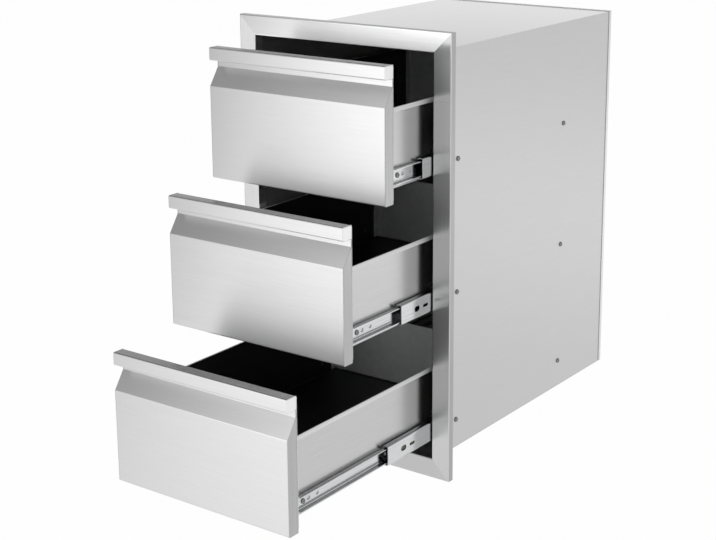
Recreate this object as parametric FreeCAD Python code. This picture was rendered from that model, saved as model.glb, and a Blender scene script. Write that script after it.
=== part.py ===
import FreeCAD, Part
import os
from FreeCAD import Vector

# Built-in three-drawer unit of folded stainless sheet, for an outdoor kitchen island.
# Millimetres. +X is to the right seen from the front, +Y goes into the island, +Z is up.
# The origin is on the underside of the body, at mid width, in the plane of the island's
# front face: the back of the face frame lies in the plane Y = 0.
# The drawers are modelled pulled out in steps, as photographed.

# Face frame
frame_width = 356.0
frame_height = 620.0
flange_width = 28.0
frame_depth = 10.0
frame_sheet = 1.2
frame_back_lip = 9.0
frame_collar = 14.0
frame_edge_radius = 1.6

# Body
body_depth = 480.0
body_sheet = 0.8
body_flange = 12.0
body_bend = 1.0
back_sheet = 0.8
back_wrap = 6.0

# Drawers, named from the top down, with how far each one is pulled out
drawer_names = ["top", "middle", "bottom"]
pulled_out = {"top": 102.0, "middle": 192.0, "bottom": 307.0}
front_side_gap = 4.0
front_end_gap = 4.0

# Drawer front, measured up from its lower edge and back from its front plane
front_height = 181.0
strip_height = 18.0
recess_wall_height = 10.0
slope_height = 25.0
recess_depth = 17.0
front_depth = 18.0
front_sheet = 1.0
front_bend = 1.0
front_back_lip = 10.0
end_plate_sheet = 1.0
liner_depth = 5.0
liner_sheet = 1.0
liner_inset = 2.0

# Drawer box
box_room_behind = 22.0
box_sheet = 0.8
box_floor_above_front_edge = 17.0
box_rim_above_front_edge = 124.0
box_bend = 1.5
hem_height = 6.0
hem_gap = 0.6
hem_bend_share = 0.45
front_tab_width = 13.0
box_back_drop = 6.0
box_back_flange = 12.0

# Ball-bearing slides, with depths counted from the wall of the body
slide_gap = 12.7
rail_centre_above_front_edge = 35.0
rail_sheet = 1.2
rail_bend = 0.8
rail_lip = 1.6
rail_depth = 11.0
fixed_rail_height = 36.0
fixed_rail_front = 16.0
fixed_rail_room_behind = 14.0
middle_rail_height = 28.4
middle_rail_shortfall = 40.0
middle_rail_web = 2.6
inner_rail_height = 20.8
inner_rail_shortfall = 5.0
inner_rail_edge = 5.0
# Where each middle rail's front end lies when its drawer is shut, behind the island's face
middle_rail_shut = {"top": 20.0, "middle": 16.0, "bottom": 42.0}

# Ball cages. A cage travels half as far as the rail that rolls over it.
ball_radius = 1.0
ball_hole_clearance = 0.15
balls_in_a_row = 7
ball_pitch = 26.0
cage_sheet = 0.6
cage_bend = 0.3
cage_length = 180.0
cage_edge = 9.0
outer_cage_web = 1.6
outer_cage_ball = 5.5
outer_cage_shut = 130.0
inner_cage_web = 4.1
inner_cage_ball = 7.0
inner_cage_shut = 152.0

# Share of a drawer's travel that each stage of its slides makes
middle_rail_share = 0.5
outer_cage_share = 0.25
inner_cage_share = 0.75

# Fasteners and stops
screw_radius = 2.0
screw_fit = 0.05
screw_hole_clearance = 0.2
head_radius = 3.6
head_height = 1.8
head_rounding = 0.8
socket_radius = 1.1
socket_depth = 1.0
rail_screw_front = 48.0
rail_screw_from_rail_end = 128.0
inner_screw_front = 12.0
inner_screw_middle = 190.0
inner_screw_from_rail_end = 30.0
front_screw_heights = [38.0, 102.0]
# Oblong windows in the rails' webs: how far behind the rail's front end, length, height
middle_rail_windows = [(36.0, 12.0, 7.5), (56.0, 12.0, 4.0)]
inner_rail_windows = [(23.0, 7.0, 5.0), (41.0, 6.0, 4.0)]
stop_length = 8.0
stop_height = 18.0
stop_depth = 7.0
stop_from_rail_end = 1.0

# Sizes that follow from the ones above
opening_width = frame_width - 2 * flange_width
opening_height = frame_height - 2 * flange_width
body_inside_width = opening_width + 2 * frame_sheet
body_inside_height = opening_height + 2 * frame_sheet
body_width = body_inside_width + 2 * body_sheet
body_height = body_inside_height + 2 * body_sheet
frame_front = -frame_depth
frame_bottom = (body_height - frame_height) / 2
frame_top = frame_bottom + frame_height
opening_bottom = frame_bottom + flange_width
front_width = opening_width - 2 * front_side_gap
panel_height = front_height - strip_height - recess_wall_height - slope_height
front_pitch = (opening_height - 2 * front_end_gap - front_height) / (len(drawer_names) - 1)
wall_face = body_inside_width / 2
box_width = body_inside_width - 2 * slide_gap
box_front_shut = frame_front + front_depth + liner_depth
box_length = body_depth - box_room_behind - box_front_shut
fixed_rail_length = body_depth - fixed_rail_room_behind - fixed_rail_front
middle_rail_length = fixed_rail_length - middle_rail_shortfall
inner_rail_length = box_length - inner_rail_shortfall
rail_gap = (fixed_rail_height - middle_rail_height) / 2 - rail_sheet
rail_screw_places = [rail_screw_front, fixed_rail_front + fixed_rail_length - rail_screw_from_rail_end]
inner_screw_places = [inner_screw_front, inner_screw_middle, inner_rail_length - inner_screw_from_rail_end]


def lower_edge(name):
    """Height of the lower edge of a drawer's front."""
    rows_below = len(drawer_names) - 1 - drawer_names.index(name)
    return opening_bottom + front_end_gap + rows_below * front_pitch


def block(x, y, z):
    """A box between two values on each axis."""
    corner = Vector(min(x), min(y), min(z))
    return Part.makeBox(max(x) - min(x), max(y) - min(y), max(z) - min(z), corner)


def in_xz(u, v):
    return Vector(u, 0, v)


def in_yz(u, v):
    return Vector(0, u, v)


def in_xy(u, v):
    return Vector(u, v, 0)


def unit(a, b):
    """Unit vector from one flat point to another."""
    length = ((b[0] - a[0]) ** 2 + (b[1] - a[1]) ** 2) ** 0.5
    return ((b[0] - a[0]) / length, (b[1] - a[1]) / length)


def turn(a, b, c):
    """Sine of the turn at b on the way from a to c: above 0 turns left."""
    d = unit(a, b)
    e = unit(b, c)
    return d[0] * e[1] - d[1] * e[0]


def shifted_right(points, distance):
    """The points of an open path moved to its right side by a distance."""
    moved = []
    last = len(points) - 1
    for i, point in enumerate(points):
        before = unit(points[i - 1], point) if i > 0 else unit(point, points[i + 1])
        after = unit(point, points[i + 1]) if i < last else before
        right = (before[1] + after[1], -before[0] - after[0])
        scale = distance / (1 + before[0] * after[0] + before[1] * after[1])
        moved.append((point[0] + right[0] * scale, point[1] + right[1] * scale))
    return moved


def rounded_path(points, radii, plane):
    """Lines along an open path, with an arc of the given radius at each inner point."""
    edges = []
    start = points[0]
    for i in range(1, len(points) - 1):
        before = unit(points[i], points[i - 1])
        after = unit(points[i], points[i + 1])
        cosine = before[0] * after[0] + before[1] * after[1]
        half_tangent = ((1 - cosine) / (1 + cosine)) ** 0.5
        reach = radii[i - 1] / half_tangent
        centre_reach = radii[i - 1] * (1 + 1 / half_tangent ** 2) ** 0.5
        middle = unit((0, 0), (before[0] + after[0], before[1] + after[1]))
        arc_start = (points[i][0] + before[0] * reach, points[i][1] + before[1] * reach)
        arc_end = (points[i][0] + after[0] * reach, points[i][1] + after[1] * reach)
        arc_reach = centre_reach - radii[i - 1]
        arc_middle = (points[i][0] + middle[0] * arc_reach, points[i][1] + middle[1] * arc_reach)
        edges.append(Part.LineSegment(plane(*start), plane(*arc_start)).toShape())
        edges.append(Part.Arc(plane(*arc_start), plane(*arc_middle), plane(*arc_end)).toShape())
        start = arc_end
    edges.append(Part.LineSegment(plane(*start), plane(*points[-1])).toShape())
    return edges


def folded_sheet(points, thickness, bends, plane, run):
    """A sheet folded along an open path and drawn out along a run.

    The points are on the sheet's left face, on the way along the path, and the bends are
    the inside radii of its folds.
    """
    right_points = shifted_right(points, thickness)
    left_radii = []
    right_radii = []
    for i in range(1, len(points) - 1):
        turns_left = turn(points[i - 1], points[i], points[i + 1]) > 0
        left_radii.append(bends[i - 1] + (0 if turns_left else thickness))
        right_radii.append(bends[i - 1] + (thickness if turns_left else 0))
    edges = rounded_path(points, left_radii, plane)
    edges.append(Part.LineSegment(plane(*points[-1]), plane(*right_points[-1])).toShape())
    edges.extend(rounded_path(right_points, right_radii, plane))
    edges.append(Part.LineSegment(plane(*points[0]), plane(*right_points[0])).toShape())
    return Part.Face(Part.Wire(Part.__sortEdges__(edges))).extrude(run)


def evenly_bent(points, bend):
    """The same inside radius for each fold of a path."""
    return [bend] * (len(points) - 2)


def moved(shape, x=0.0, y=0.0, z=0.0):
    copy = shape.copy()
    copy.translate(Vector(x, y, z))
    return copy


def mirrored(shape):
    """The same piece on the other side of the unit."""
    return shape.mirror(Vector(0, 0, 0), Vector(1, 0, 0))


def both_sides(pieces):
    return pieces + [mirrored(piece) for piece in pieces]


def joined(pieces):
    """One solid from pieces that share faces."""
    return pieces[0].fuse(pieces[1:]).removeSplitter()


def group(pieces):
    return Part.makeCompound(pieces)


def save(name, shape):
    shape.exportStep("parts/" + name + ".step")


def edges_in_plane(shape, y):
    """Edges that lie in a plane across Y."""
    found = []
    for edge in shape.Edges:
        box = edge.BoundBox
        if abs(box.YMin - y) < 0.001 and abs(box.YMax - y) < 0.001:
            found.append(edge)
    return found


# Cabinet

def ring(outer_inset, inner_inset, y):
    """A rectangular ring between two lines that run inside the face frame's outer edge."""
    plates = []
    for inset in (outer_inset, inner_inset):
        x = frame_width / 2 - inset
        plates.append(block((-x, x), y, (frame_bottom + inset, frame_top - inset)))
    return plates[0].cut(plates[1])


def face_frame():
    """Hollow folded frame: face, outer edge, back lip, and a collar inside the body's mouth."""
    face_back = frame_front + frame_sheet
    collar_back = face_back + frame_collar
    face = ring(0, flange_width, (frame_front, face_back))
    edge = ring(0, frame_sheet, (face_back, 0))
    lip = ring(frame_sheet, frame_back_lip, (-frame_sheet, 0))
    collar = ring(flange_width - frame_sheet, flange_width, (face_back, collar_back))
    frame = joined([face, edge, lip, collar])
    return frame.makeFillet(frame_edge_radius, edges_in_plane(frame, frame_front))


def side_panel():
    """Right wall of the body, folded inwards at the back."""
    outside = body_width / 2
    back = body_depth - back_sheet
    front = frame_front + frame_sheet
    path = [(outside - body_flange, back), (outside, back), (outside, front)]
    height = Vector(0, 0, body_height - 2 * body_sheet)
    wall = moved(folded_sheet(path, body_sheet, [body_bend], in_xy, height), z=body_sheet)
    for name in drawer_names:
        for place in rail_screw_places:
            height = lower_edge(name) + rail_centre_above_front_edge
            hole = Part.makeCylinder(screw_radius + screw_hole_clearance, 3 * body_sheet,
                                     Vector(wall_face - body_sheet, place, height), Vector(1, 0, 0))
            wall = wall.cut(hole)
    return wall


def level_panel(is_top):
    """Top or bottom of the body: it closes the walls, and its sides fold in between them."""
    front = frame_front + frame_sheet
    inner_back = body_depth - back_sheet
    back = inner_back if is_top else body_depth
    outside = body_height if is_top else 0.0
    inwards = -1 if is_top else 1
    plate = block((-body_width / 2, body_width / 2), (front, back), (outside, outside + inwards * body_sheet))
    inside = outside + inwards * body_sheet
    flange_z = (inside, inside + inwards * body_flange)
    flange_y = (front + frame_collar, inner_back - body_sheet - body_bend)
    flange = block((wall_face - body_sheet, wall_face), flange_y, flange_z)
    pieces = [plate] + both_sides([flange])
    if is_top:
        half = wall_face - body_flange
        pieces.append(block((-half, half), (back - body_sheet, back), flange_z))
    return joined(pieces)


def back_panel():
    """Back of the body, folded forward over the walls and the top. It stands on the bottom panel,
    on a flange folded forward between the walls, so that the underside of the body stays flat."""
    half = body_width / 2
    inner_back = body_depth - back_sheet
    shell = block((-half - back_sheet, half + back_sheet), (inner_back - back_wrap, body_depth),
                  (body_sheet, body_height + back_sheet))
    hollow = block((-half, half), (0, inner_back), (0, body_height))
    flange_half = wall_face - body_flange
    flange = block((-flange_half, flange_half), (inner_back - body_flange, inner_back),
                   (body_sheet, body_sheet + back_sheet))
    return joined([shell.cut(hollow), flange])


# Slides. Each section is drawn for the right side, level with its rail's centre.

def channel(web, height, edge, sheet, bend, lip, length):
    """A channel with its web towards the wall and its flanges towards the drawer."""
    half = height / 2
    near_wall = wall_face - web
    near_box = wall_face - edge
    path = [(near_box, half), (near_wall, half), (near_wall, -half), (near_box, -half)]
    if lip > 0:
        lip_end = half - sheet - lip
        path = [(near_box, lip_end)] + path + [(near_box, -lip_end)]
    return folded_sheet(path, sheet, evenly_bent(path, bend), in_xz, Vector(0, length, 0))


def web_hole(radius, y):
    """A cylinder through a rail's web."""
    return Part.makeCylinder(radius, 3 * slide_gap, Vector(wall_face - 2 * slide_gap, y, 0), Vector(1, 0, 0))


def web_windows(windows):
    """Oblong cutters with round ends, through a rail's web."""
    cutters = []
    for place, length, height in windows:
        to_end = (length - height) / 2
        ends = [web_hole(height / 2, place - to_end), web_hole(height / 2, place + to_end)]
        middle = block((wall_face - 2 * slide_gap, wall_face + slide_gap), (place - to_end, place + to_end),
                       (-height / 2, height / 2))
        cutters.append(joined([middle] + ends))
    return cutters


def fixed_rail():
    rail = channel(0.0, fixed_rail_height, rail_depth, rail_sheet, rail_bend, rail_lip, fixed_rail_length)
    rail = moved(rail, y=fixed_rail_front)
    return rail.cut([web_hole(screw_radius + screw_fit, place) for place in rail_screw_places])


def middle_rail(name):
    front = middle_rail_shut[name] - middle_rail_share * pulled_out[name]
    rail = channel(middle_rail_web, middle_rail_height, rail_depth, rail_sheet, rail_bend, rail_lip,
                   middle_rail_length)
    return moved(rail.cut(web_windows(middle_rail_windows)), y=front)


def inner_rail(name):
    """The rail on the drawer's side, with its web on the box and its flanges towards the wall."""
    half = inner_rail_height / 2
    near_wall = wall_face - inner_rail_edge
    near_box = wall_face - slide_gap
    path = [(near_wall, -half), (near_box, -half), (near_box, half), (near_wall, half)]
    rail = folded_sheet(path, rail_sheet, evenly_bent(path, rail_bend), in_xz, Vector(0, inner_rail_length, 0))
    holes = [web_hole(screw_radius + screw_fit, place) for place in inner_screw_places]
    return moved(rail.cut(holes + web_windows(inner_rail_windows)), y=box_front_shut - pulled_out[name])


def ball_cage(web, ball_depth, ball_height, front):
    """A folded cage with its two rows of balls, one row above and one below."""
    height = 2 * ball_height + cage_sheet
    cage = channel(web, height, cage_edge, cage_sheet, cage_bend, 0.0, cage_length)
    holes = []
    balls = []
    first_ball = (cage_length - (balls_in_a_row - 1) * ball_pitch) / 2
    for i in range(balls_in_a_row):
        y = first_ball + i * ball_pitch
        x = wall_face - ball_depth
        holes.append(Part.makeCylinder(ball_radius + ball_hole_clearance, height + 2 * cage_sheet,
                                       Vector(x, y, -height / 2 - cage_sheet), Vector(0, 0, 1)))
        balls.append(Part.makeSphere(ball_radius, Vector(x, y, ball_height)))
        balls.append(Part.makeSphere(ball_radius, Vector(x, y, -ball_height)))
    return [moved(piece, y=front) for piece in [cage.cut(holes)] + balls]


def outer_cage(name):
    """Between the fixed rail and the middle rail."""
    ball_height = middle_rail_height / 2 + rail_gap / 2
    front = outer_cage_shut - outer_cage_share * pulled_out[name]
    return ball_cage(outer_cage_web, outer_cage_ball, ball_height, front)


def inner_cage(name):
    """Between the middle rail and the drawer's rail."""
    ball_height = (middle_rail_height / 2 - rail_sheet + inner_rail_height / 2) / 2
    front = inner_cage_shut - inner_cage_share * pulled_out[name]
    return ball_cage(inner_cage_web, inner_cage_ball, ball_height, front)


# Fasteners and stops

def screw(base, direction, length):
    """A pan-head screw: base is the centre of the head's underside, direction points out of it."""
    back = Vector(direction) * -1
    head = Part.makeCylinder(head_radius, head_height, base, direction)
    rim = [edge for edge in head.Edges if edge.Closed and (edge.CenterOfMass - base).Length > head_height / 2]
    head = head.makeFillet(head_rounding, rim)
    shank = Part.makeCylinder(screw_radius, length, base, back)
    socket_base = base + Vector(direction) * (head_height - socket_depth)
    socket = Part.makeCylinder(socket_radius, 2 * socket_depth, socket_base, direction)
    return joined([head, shank]).cut(socket)


def rail_screws():
    """Screws from outside, through the body's walls into the webs of the fixed rails."""
    screws = []
    for name in drawer_names:
        height = lower_edge(name) + rail_centre_above_front_edge
        for place in rail_screw_places:
            base = Vector(body_width / 2, place, height)
            screws.append(screw(base, Vector(1, 0, 0), body_sheet + rail_sheet))
    return both_sides(screws)


def rail_stop():
    """Rubber stop in the rear end of a fixed rail, which the moving rails meet when shut."""
    rear = fixed_rail_front + fixed_rail_length - stop_from_rail_end
    near_wall = wall_face - rail_sheet
    return block((near_wall - stop_depth, near_wall), (rear - stop_length, rear),
                 (-stop_height / 2, stop_height / 2))


# Drawers. They are drawn shut, with the lower edge of the front at height 0.

def front_outline():
    """Outer face of the front's skin from its lower back edge round to its upper back edge."""
    slope_top = panel_height + slope_height
    strip_bottom = slope_top + recess_wall_height
    front = frame_front
    return [
        (front + front_depth, 0.0),
        (front, 0.0),
        (front, panel_height),
        (front + recess_depth, slope_top),
        (front + recess_depth, strip_bottom),
        (front, strip_bottom),
        (front, front_height),
        (front + front_depth, front_height),
    ]


def front_skin():
    """Folded skin: panel, slope, finger recess and handle strip, with a lip at each back edge."""
    outline = front_outline()
    back = frame_front + front_depth
    path = [(back, front_back_lip)] + outline + [(back, front_height - front_back_lip)]
    width = front_width - 2 * end_plate_sheet
    skin = folded_sheet(path, front_sheet, evenly_bent(path, front_bend), in_yz, Vector(width, 0, 0))
    return moved(skin, x=-width / 2)


def front_end_plates():
    """Plates that close both ends of the skin, with the recess left open."""
    outline = front_outline()
    radii = []
    for i in range(1, len(outline) - 1):
        turns_left = turn(outline[i - 1], outline[i], outline[i + 1]) > 0
        radii.append(front_bend + (0 if turns_left else front_sheet))
    edges = rounded_path(outline, radii, in_yz)
    edges.append(Part.LineSegment(in_yz(*outline[-1]), in_yz(*outline[0])).toShape())
    face = Part.Face(Part.Wire(Part.__sortEdges__(edges)))
    plate = moved(face.extrude(Vector(end_plate_sheet, 0, 0)), x=front_width / 2 - end_plate_sheet)
    return both_sides([plate])


def front_screw_positions():
    """Centres of the screws that hold the box to the front's liner."""
    x = box_width / 2 - box_sheet - front_tab_width / 2
    return [(side * x, height) for side in (-1, 1) for height in front_screw_heights]


def front_liner():
    """Pan behind the skin: it stiffens the front and carries the box."""
    back = frame_front + front_depth + liner_depth
    half = front_width / 2 - end_plate_sheet - liner_inset
    low = liner_inset + front_sheet
    high = front_height - front_sheet - liner_inset
    pan = block((-half, half), (back - liner_depth, back), (low, high))
    hollow = block((-half + liner_sheet, half - liner_sheet), (back - liner_depth, back - liner_sheet),
                   (low + liner_sheet, high - liner_sheet))
    pan = pan.cut(hollow)
    for x, height in front_screw_positions():
        pan = pan.cut(Part.makeCylinder(screw_radius + screw_fit, 2 * liner_depth,
                                        Vector(x, back - liner_depth, height), Vector(0, 1, 0)))
    return pan


def box_tray():
    """Floor and sides of the box from one sheet, with hemmed rims and tabs for the front."""
    half = box_width / 2
    floor = box_floor_above_front_edge
    rim = box_rim_above_front_edge - box_sheet
    hem_end = box_rim_above_front_edge - hem_height
    hem = half + hem_gap
    path = [(hem, hem_end), (hem, rim), (half, rim), (half, floor),
            (-half, floor), (-half, rim), (-hem, rim), (-hem, hem_end)]
    hem_bend = hem_gap * hem_bend_share
    bends = [hem_bend, hem_bend, box_bend, box_bend, hem_bend, hem_bend]
    tray = folded_sheet(path, box_sheet, bends, in_xz, Vector(0, box_length, 0))
    tab = block((half - box_sheet - front_tab_width, half - box_sheet), (0, box_sheet),
                (floor + box_sheet + box_bend, rim - hem_gap))
    tray = joined([tray] + both_sides([tab]))
    holes = [web_hole(screw_radius + screw_hole_clearance, place) for place in inner_screw_places]
    holes = [moved(hole, z=rail_centre_above_front_edge) for hole in both_sides(holes)]
    for x, height in front_screw_positions():
        holes.append(Part.makeCylinder(screw_radius + screw_hole_clearance, 3 * box_sheet,
                                       Vector(x, -box_sheet, height), Vector(0, 1, 0)))
    return moved(tray.cut(holes), y=box_front_shut)


def box_back():
    """Back of the box, folded forward at both sides along the inside of the tray."""
    half = box_width / 2 - box_sheet
    rear = box_front_shut + box_length
    path = [(half, rear - box_back_flange), (half, rear), (-half, rear), (-half, rear - box_back_flange)]
    path.reverse()
    low = box_floor_above_front_edge + box_sheet + box_bend
    height = Vector(0, 0, box_rim_above_front_edge - box_back_drop - low)
    return moved(folded_sheet(path, box_sheet, evenly_bent(path, box_bend), in_xy, height), z=low)


def inner_rail_screws():
    """Screws through the drawer's rails into the sides of the box."""
    screws = []
    for place in inner_screw_places:
        base = Vector(wall_face - slide_gap + rail_sheet, box_front_shut + place, rail_centre_above_front_edge)
        screws.append(screw(base, Vector(1, 0, 0), rail_sheet + box_sheet))
    return both_sides(screws)


def front_screws():
    """Screws from inside the box through its tabs into the liner."""
    screws = []
    for x, height in front_screw_positions():
        base = Vector(x, box_front_shut + box_sheet, height)
        screws.append(screw(base, Vector(0, 1, 0), box_sheet + liner_sheet))
    return screws


def save_cabinet():
    save("face_frame", face_frame())
    wall = side_panel()
    save("right_side_panel", wall)
    save("left_side_panel", mirrored(wall))
    save("top_panel", level_panel(True))
    save("bottom_panel", level_panel(False))
    save("back_panel", back_panel())
    save("rail_screws", group(rail_screws()))
    stops = []
    for name in drawer_names:
        height = lower_edge(name) + rail_centre_above_front_edge
        rail = moved(fixed_rail(), z=height)
        save(name + "_right_fixed_rail", rail)
        save(name + "_left_fixed_rail", mirrored(rail))
        stops.append(moved(rail_stop(), z=height))
    save("rail_stops", group(both_sides(stops)))


def save_slides(name):
    """The parts between the cabinet and one drawer that move by themselves."""
    height = lower_edge(name) + rail_centre_above_front_edge
    rail = moved(middle_rail(name), z=height)
    save(name + "_right_middle_rail", rail)
    save(name + "_left_middle_rail", mirrored(rail))
    outer = [moved(piece, z=height) for piece in outer_cage(name)]
    inner = [moved(piece, z=height) for piece in inner_cage(name)]
    save(name + "_outer_ball_cages", group(both_sides(outer)))
    save(name + "_inner_ball_cages", group(both_sides(inner)))


def save_drawer(name):
    """One drawer, pulled out as photographed."""
    low = lower_edge(name)
    out = -pulled_out[name]
    save(name + "_front_skin", moved(front_skin(), y=out, z=low))
    save(name + "_front_end_plates", moved(group(front_end_plates()), y=out, z=low))
    save(name + "_front_liner", moved(front_liner(), y=out, z=low))
    save(name + "_box_tray", moved(box_tray(), y=out, z=low))
    save(name + "_box_back", moved(box_back(), y=out, z=low))
    rail = moved(inner_rail(name), z=low + rail_centre_above_front_edge)
    save(name + "_right_drawer_rail", rail)
    save(name + "_left_drawer_rail", mirrored(rail))
    save(name + "_drawer_rail_screws", moved(group(inner_rail_screws()), y=out, z=low))
    save(name + "_front_screws", moved(group(front_screws()), y=out, z=low))


os.makedirs("parts", exist_ok=True)
save_cabinet()
for drawer in drawer_names:
    save_slides(drawer)
    save_drawer(drawer)
print("opening", opening_width, "x", opening_height, "front pitch", front_pitch)
print("body", body_width, "x", body_height, "x", body_depth)
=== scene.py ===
import logging
import math
from collections.abc import Sequence
from dataclasses import dataclass, field
from enum import Enum

import bmesh
import bpy
from mathutils import Matrix, Vector


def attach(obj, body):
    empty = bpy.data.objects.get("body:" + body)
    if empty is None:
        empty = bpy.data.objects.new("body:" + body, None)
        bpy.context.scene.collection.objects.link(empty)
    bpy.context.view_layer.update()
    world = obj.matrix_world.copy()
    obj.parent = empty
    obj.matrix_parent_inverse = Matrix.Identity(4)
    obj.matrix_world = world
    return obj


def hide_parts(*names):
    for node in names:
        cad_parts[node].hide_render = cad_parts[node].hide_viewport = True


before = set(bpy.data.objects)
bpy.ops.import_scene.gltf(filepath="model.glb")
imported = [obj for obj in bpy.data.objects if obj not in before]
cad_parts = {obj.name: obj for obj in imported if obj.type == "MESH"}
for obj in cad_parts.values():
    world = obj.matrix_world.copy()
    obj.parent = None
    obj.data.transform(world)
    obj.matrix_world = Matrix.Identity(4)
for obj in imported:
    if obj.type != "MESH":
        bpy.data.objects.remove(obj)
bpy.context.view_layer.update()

# Looks of a built-in unit of three stainless steel drawers for an outdoor kitchen island.
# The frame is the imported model's: +X is right seen from the front, +Y goes into the island and
# +Z is up. Sizes of the unit are in millimetres, and a piece is turned to metres at the end.

MM = 0.001
# A point this near to a plane lies in it, and a face this near to its place is in its place.
SAME_PLANE = 1e-4
HAIR = 0.05
# How much of a direction a face's normal has when the face points that way.
ROUGHLY = 0.5
MAINLY = 0.7
SQUARELY = 0.9
# Two faces that meet at more than this many radians form a corner.
SHARP = 1.0
# Flat faces around a bend of a sheet, a rounded rim, a pressed fold and a full circle.
BEND_STEPS = 6
RIM_STEPS = 5
FOLD_STEPS = 4
CIRCLE_STEPS = 24
# Nearly all values of a noise pattern lie between these two.
NOISE_SPAN = (0.3, 0.7)
log = logging.getLogger("drawer_unit")

Point = tuple[float, float]
Triple = tuple[float, float, float]
# A place and the way that something points there.
Aimed = tuple[Triple, Triple]


class Axis(Enum):
    """A direction along one of the model's axes."""

    X = (1.0, 0.0, 0.0)
    Y = (0.0, 1.0, 0.0)
    Z = (0.0, 0.0, 1.0)


class Plane(Enum):
    """The plane that a sheet's section is drawn in, and then the axis that it is drawn out along."""

    XZ = (Axis.X, Axis.Z, Axis.Y)
    YZ = (Axis.Y, Axis.Z, Axis.X)
    XY = (Axis.X, Axis.Y, Axis.Z)

    def place(self, u: float, v: float, w: float = 0.0) -> Vector:
        """Give the point at two flat coordinates and a height over the plane."""
        parts = [Vector(axis.value) * size for axis, size in zip(self.value, (u, v, w))]
        return parts[0] + parts[1] + parts[2]


class Side(Enum):
    """A side of the unit, seen from the front, with its sign along X."""

    LEFT = -1.0
    RIGHT = 1.0

    @property
    def label(self) -> str:
        """Give the side's name in small letters."""
        return self.name.lower()


# Materials


def linear(colour: str) -> tuple[float, float, float, float]:
    """Turn an sRGB hex colour to linear values.

    Args:
        colour: Six hex digits after a hash.

    Returns:
        Red, green, blue and an alpha of 1.
    """
    channels = [int(colour[i : i + 2], 16) / 255 for i in (1, 3, 5)]
    bent = [c / 12.92 if c <= 0.04045 else ((c + 0.055) / 1.055) ** 2.4 for c in channels]
    return (*bent, 1.0)


def fresh_tree(owner: bpy.types.Material | bpy.types.World | bpy.types.Light) -> bpy.types.NodeTree:
    """Turn on the nodes of a material, the world or a lamp, and clear them.

    Args:
        owner: What the nodes belong to.

    Returns:
        The empty node tree.
    """
    owner.use_nodes = True
    owner.node_tree.nodes.clear()
    return owner.node_tree


def add_node(
    tree: bpy.types.NodeTree,
    kind: str,
    inputs: dict[str | int, object] | None = None,
    settings: dict[str, object] | None = None,
) -> bpy.types.Node:
    """Add a node to a tree, with its values, its links and its settings.

    Args:
        tree: The node tree of a material, a lamp or the world.
        kind: Blender's name for the kind of node.
        inputs: Input sockets by name or number, each with a value or an output socket to link.
        settings: Properties of the node and their values.

    Returns:
        The new node.
    """
    node = tree.nodes.new(kind)
    for name, value in (settings or {}).items():
        setattr(node, name, value)
    for name, value in (inputs or {}).items():
        if isinstance(value, bpy.types.NodeSocket):
            tree.links.new(value, node.inputs[name])
        else:
            node.inputs[name].default_value = value
    return node


def soft_edges(
    tree: bpy.types.NodeTree, spot: bpy.types.NodeSocket, middle: float, core: float
) -> bpy.types.NodeSocket:
    """Fade from 1 in the middle of a rectangle to 0 at its edges.

    Args:
        tree: The nodes to add to.
        spot: The place on the rectangle, where each side is 1 long.
        middle: The middle of the rectangle, the same in both directions.
        core: How far from the middle the fading starts.

    Returns:
        An output with the share that is left.
    """
    parts = add_node(tree, "ShaderNodeSeparateXYZ", {0: spot})
    share: bpy.types.NodeSocket | float = 1.0
    for part in ("X", "Y"):
        off = add_node(tree, "ShaderNodeMath", {0: parts.outputs[part], 1: middle}, {"operation": "SUBTRACT"})
        far = add_node(tree, "ShaderNodeMath", {0: off.outputs[0]}, {"operation": "ABSOLUTE"})
        ends = {"Value": far.outputs[0], "From Min": 0.5, "From Max": core}
        fade = add_node(tree, "ShaderNodeMapRange", ends, {"interpolation_type": "SMOOTHSTEP"})
        both = add_node(tree, "ShaderNodeMath", {0: fade.outputs[0], 1: share}, {"operation": "MULTIPLY"})
        share = both.outputs[0]
    return share


class Finish:
    """A material and how its surface was made. Each kind of finish lays its own nodes."""

    name: str

    def material(self) -> bpy.types.Material:
        """Make the material, or find it if it was made before.

        Returns:
            The material, named for the finish.
        """
        found = bpy.data.materials.get(self.name)
        if found:
            return found
        made = bpy.data.materials.new(self.name)
        tree = fresh_tree(made)
        add_node(tree, "ShaderNodeOutputMaterial", {"Surface": self.lay(tree)})
        return made

    def lay(self, tree: bpy.types.NodeTree) -> bpy.types.NodeSocket:
        """Lay the nodes of the finish in a tree and give its shader's output."""
        raise NotImplementedError


@dataclass(frozen=True)
class PatternedFinish(Finish):
    """A finish whose colour and gloss follow one pattern between two ends."""

    name: str
    colour: str
    light_colour: str

    def dress(
        self,
        tree: bpy.types.NodeTree,
        pattern: bpy.types.NodeSocket,
        span: tuple[float, float],
        roughness: tuple[float, float],
        inputs: dict[str, object],
    ) -> bpy.types.NodeSocket:
        """Lay the colour, the roughness and the shader over a pattern.

        Args:
            tree: The material's nodes.
            pattern: The pattern's output, from 0 for the colour to 1 for the light colour.
            span: Two values of the pattern.
            roughness: The roughness at each of the two.
            inputs: The shader's other inputs.

        Returns:
            The shader's output.
        """
        tones = {0: pattern, 6: linear(self.colour), 7: linear(self.light_colour)}
        tone = add_node(tree, "ShaderNodeMix", tones, {"data_type": "RGBA"})
        ends = {"From Min": span[0], "From Max": span[1], "To Min": roughness[0], "To Max": roughness[1]}
        rough = add_node(tree, "ShaderNodeMapRange", {"Value": pattern, **ends})
        looks = {"Base Color": tone.outputs[2], "Roughness": rough.outputs["Result"], **inputs}
        return add_node(tree, "ShaderNodeBsdfPrincipled", looks).outputs["BSDF"]


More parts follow.
